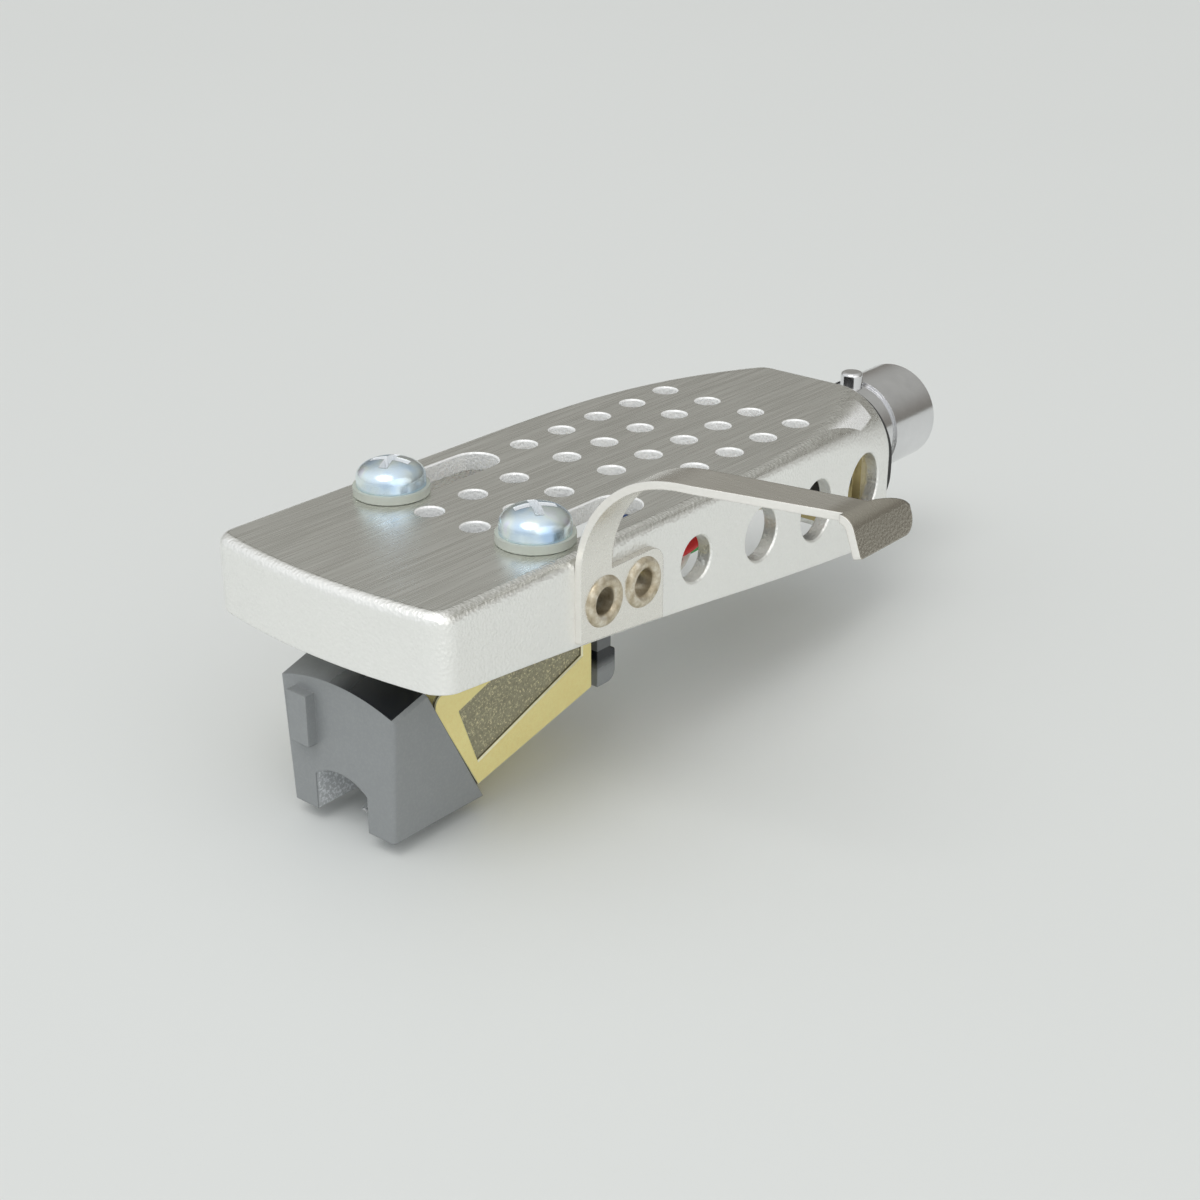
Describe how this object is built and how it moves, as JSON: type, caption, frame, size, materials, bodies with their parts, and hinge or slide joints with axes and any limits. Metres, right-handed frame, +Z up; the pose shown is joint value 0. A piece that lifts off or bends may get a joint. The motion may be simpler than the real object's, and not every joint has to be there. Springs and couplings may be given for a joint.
{
  "type": "turntable stylus cartridge",
  "caption": "Slim perforated headshell with finger lift and bayonet arm plug, carrying a slanted cartridge whose notched nose holds a sprung stylus and pulls off.",
  "frame": {"origin": "centre of the arm plug's free end, on the plug's axis", "axes": "+X to the finger-lift side, +Y along the plug's axis towards the tonearm, +Z up from the record"},
  "size_m": [0.0388, 0.0653, 0.0245],
  "materials": {
    "shell": "brushed top plate, satin bead-blasted sides",
    "lift": "satin sheet",
    "rivet": "tarnished nickel plate",
    "plug": "plated",
    "gasket": "matt",
    "clamp": "stamped, dull",
    "insulator": "moulded",
    "contact": "gold plated",
    "screw": "zinc plated",
    "washer": "translucent nylon",
    "nut": "plated",
    "bracket": "moulded",
    "case": "dull gold",
    "former": "moulded",
    "terminal_block": "moulded",
    "holder": "moulded",
    "sleeve": "drawn",
    "damper": "soft",
    "diamond": "polished",
    "cantilever": "drawn",
    "magnet": "ground",
    "pole": "ground",
    "coil": "enamelled copper wire",
    "clip": "gold plated",
    "lead_red": "insulated wire",
    "lead_white": "insulated wire",
    "lead_green": "insulated wire",
    "lead_blue": "insulated wire"
  },
  "bodies": {
    "headshell": {"shell": "shell", "finger_lift": "lift", "lift_rivets": "rivet", "arm_plug": "plug", "locating_key": "plug", "gasket": "gasket", "clamp_plate": "clamp", "contact_insulator": "insulator", "contact_red": "contact", "contact_blue": "contact", "contact_white": "contact", "contact_green": "contact", "contact_clip_red": "clip", "contact_clip_blue": "clip", "contact_clip_white": "clip", "contact_clip_green": "clip", "lead_red": "lead_red", "lead_blue": "lead_blue", "lead_white": "lead_white", "lead_green": "lead_green"},
    "cartridge": {"mounting_screws": "screw", "mounting_washers": "washer", "mounting_nuts": "nut", "mounting_bracket": "bracket", "cartridge_case": "case", "coil_former": "former", "terminal_block": "terminal_block", "pole_1": "pole", "pole_2": "pole", "pole_3": "pole", "pole_4": "pole", "coil_1": "coil", "coil_2": "coil", "coil_3": "coil", "coil_4": "coil", "terminal_red": "contact", "terminal_blue": "contact", "terminal_white": "contact", "terminal_green": "contact", "terminal_clip_red": "clip", "terminal_clip_blue": "clip", "terminal_clip_white": "clip", "terminal_clip_green": "clip"},
    "stylus_unit": {"stylus_holder": "holder", "stylus_sleeve": "sleeve"},
    "suspension": {"suspension_damper": "damper"},
    "stylus": {"cantilever": "cantilever", "stylus_diamond": "diamond", "magnet": "magnet"}
  },
  "joints": [
    {"name": "overhang_slide", "type": "slide", "parent": "headshell", "child": "cartridge", "axis": [0, 1, 0], "range_m": [-0.0003, 0.0076], "deforming": ["lead_red", "lead_blue", "lead_white", "lead_green"]},
    {"name": "stylus_pull", "type": "slide", "parent": "cartridge", "child": "stylus_unit", "axis": [0, -0.91, -0.4147], "range_m": [0, 0.0075]},
    {"name": "cantilever_lateral", "type": "hinge", "parent": "stylus_unit", "child": "suspension", "pos_m": [0, -0.05596, -0.00836], "axis": [0, -0.4147, 0.91], "range_deg": [-2, 2], "stiffness_Nm_per_rad": 0.0038},
    {"name": "cantilever_vertical", "type": "hinge", "parent": "suspension", "child": "stylus", "pos_m": [0, -0.05596, -0.00836], "axis": [1, 0, 0], "range_deg": [-2, 2], "stiffness_Nm_per_rad": 0.0038}
  ]
}
